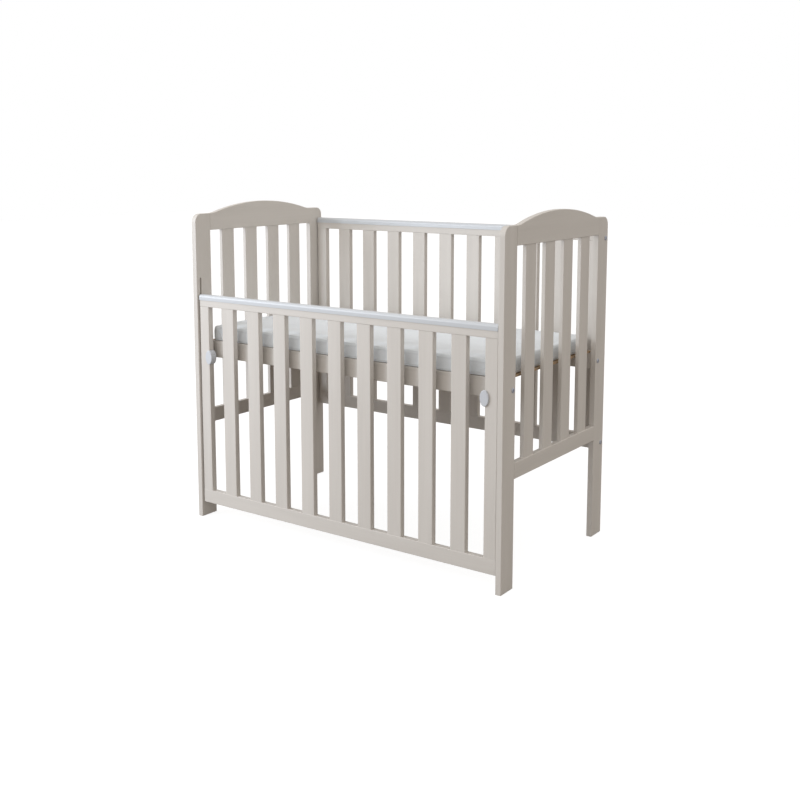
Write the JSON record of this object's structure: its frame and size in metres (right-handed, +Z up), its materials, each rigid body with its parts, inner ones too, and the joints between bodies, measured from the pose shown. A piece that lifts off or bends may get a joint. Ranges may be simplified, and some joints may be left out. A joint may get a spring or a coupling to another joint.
{
  "type": "baby crib",
  "caption": "Slatted baby crib with arched end panels, a fixed rear side, a spring-latched front side that slides down, teething rail covers, a boarded base and a mattress.",
  "frame": {"origin": "on the floor, under the middle of the crib", "axes": "+X along the length to the right, -Y to the front where the side drops, +Z up"},
  "size_m": [1.0644, 0.579, 0.949],
  "materials": {
    "painted_wood": "satin warm grey paint over close-grained wood",
    "raw_pine": "sanded, unpainted",
    "raw_board": "raw hardboard",
    "mattress_fabric": "soft white woven cover over foam",
    "cover_plastic": "smooth white, slightly cool",
    "latch_plastic": "satin white moulding",
    "steel": "bright drawn steel",
    "zinc_steel": "blue-grey passivated zinc"
  },
  "bodies": {
    "frame": {"barrel_nuts": "zinc_steel", "base_batten_1": "raw_pine", "base_batten_2": "raw_pine", "base_batten_3": "raw_pine", "base_board": "raw_board", "base_front_rail": "painted_wood", "base_rear_rail": "painted_wood", "connector_bolts": "zinc_steel", "left_arch_rail": "painted_wood", "left_bottom_rail": "painted_wood", "left_front_post": "painted_wood", "left_rear_post": "painted_wood", "left_slat_1": "painted_wood", "left_slat_2": "painted_wood", "left_slat_3": "painted_wood", "left_slat_4": "painted_wood", "rear_bottom_rail": "painted_wood", "rear_left_stile": "painted_wood", "rear_rail_cover": "cover_plastic", "rear_right_stile": "painted_wood", "rear_slat_1": "painted_wood", "rear_slat_2": "painted_wood", "rear_slat_3": "painted_wood", "rear_slat_4": "painted_wood", "rear_slat_5": "painted_wood", "rear_slat_6": "painted_wood", "rear_slat_7": "painted_wood", "rear_slat_8": "painted_wood", "rear_slat_9": "painted_wood", "rear_top_rail": "painted_wood", "right_arch_rail": "painted_wood", "right_bottom_rail": "painted_wood", "right_front_post": "painted_wood", "right_rear_post": "painted_wood", "right_slat_1": "painted_wood", "right_slat_2": "painted_wood", "right_slat_3": "painted_wood", "right_slat_4": "painted_wood"},
    "drop_side": {"drop_bottom_rail": "painted_wood", "drop_guide_pins": "steel", "drop_left_stile": "painted_wood", "drop_rail_cover": "cover_plastic", "drop_right_stile": "painted_wood", "drop_slat_1": "painted_wood", "drop_slat_2": "painted_wood", "drop_slat_3": "painted_wood", "drop_slat_4": "painted_wood", "drop_slat_5": "painted_wood", "drop_slat_6": "painted_wood", "drop_slat_7": "painted_wood", "drop_slat_8": "painted_wood", "drop_slat_9": "painted_wood", "drop_top_rail": "painted_wood", "latch_bushes": "latch_plastic", "latch_springs": "steel"},
    "left_latch": {"left_latch_bolt": "steel", "left_latch_knob": "latch_plastic"},
    "right_latch": {"right_latch_bolt": "steel", "right_latch_knob": "latch_plastic"},
    "mattress": {"mattress": "mattress_fabric"}
  },
  "joints": [
    {"name": "drop_side_slide", "type": "slide", "parent": "frame", "child": "drop_side", "axis": [0, 0, 1], "range_m": [0, 0.2045]},
    {"name": "left_latch_pull", "type": "slide", "parent": "drop_side", "child": "left_latch", "axis": [1, 0, 0], "range_m": [0, 0.006], "stiffness_N_per_m": 400, "springref_m": -0.012, "deforming": ["latch_springs"]},
    {"name": "right_latch_pull", "type": "slide", "parent": "drop_side", "child": "right_latch", "axis": [-1, 0, 0], "range_m": [0, 0.006], "stiffness_N_per_m": 400, "springref_m": -0.012, "deforming": ["latch_springs"]},
    {"name": "mattress_lift", "type": "slide", "parent": "frame", "child": "mattress", "axis": [0, 0, 1], "range_m": [0, 0.42]}
  ]
}
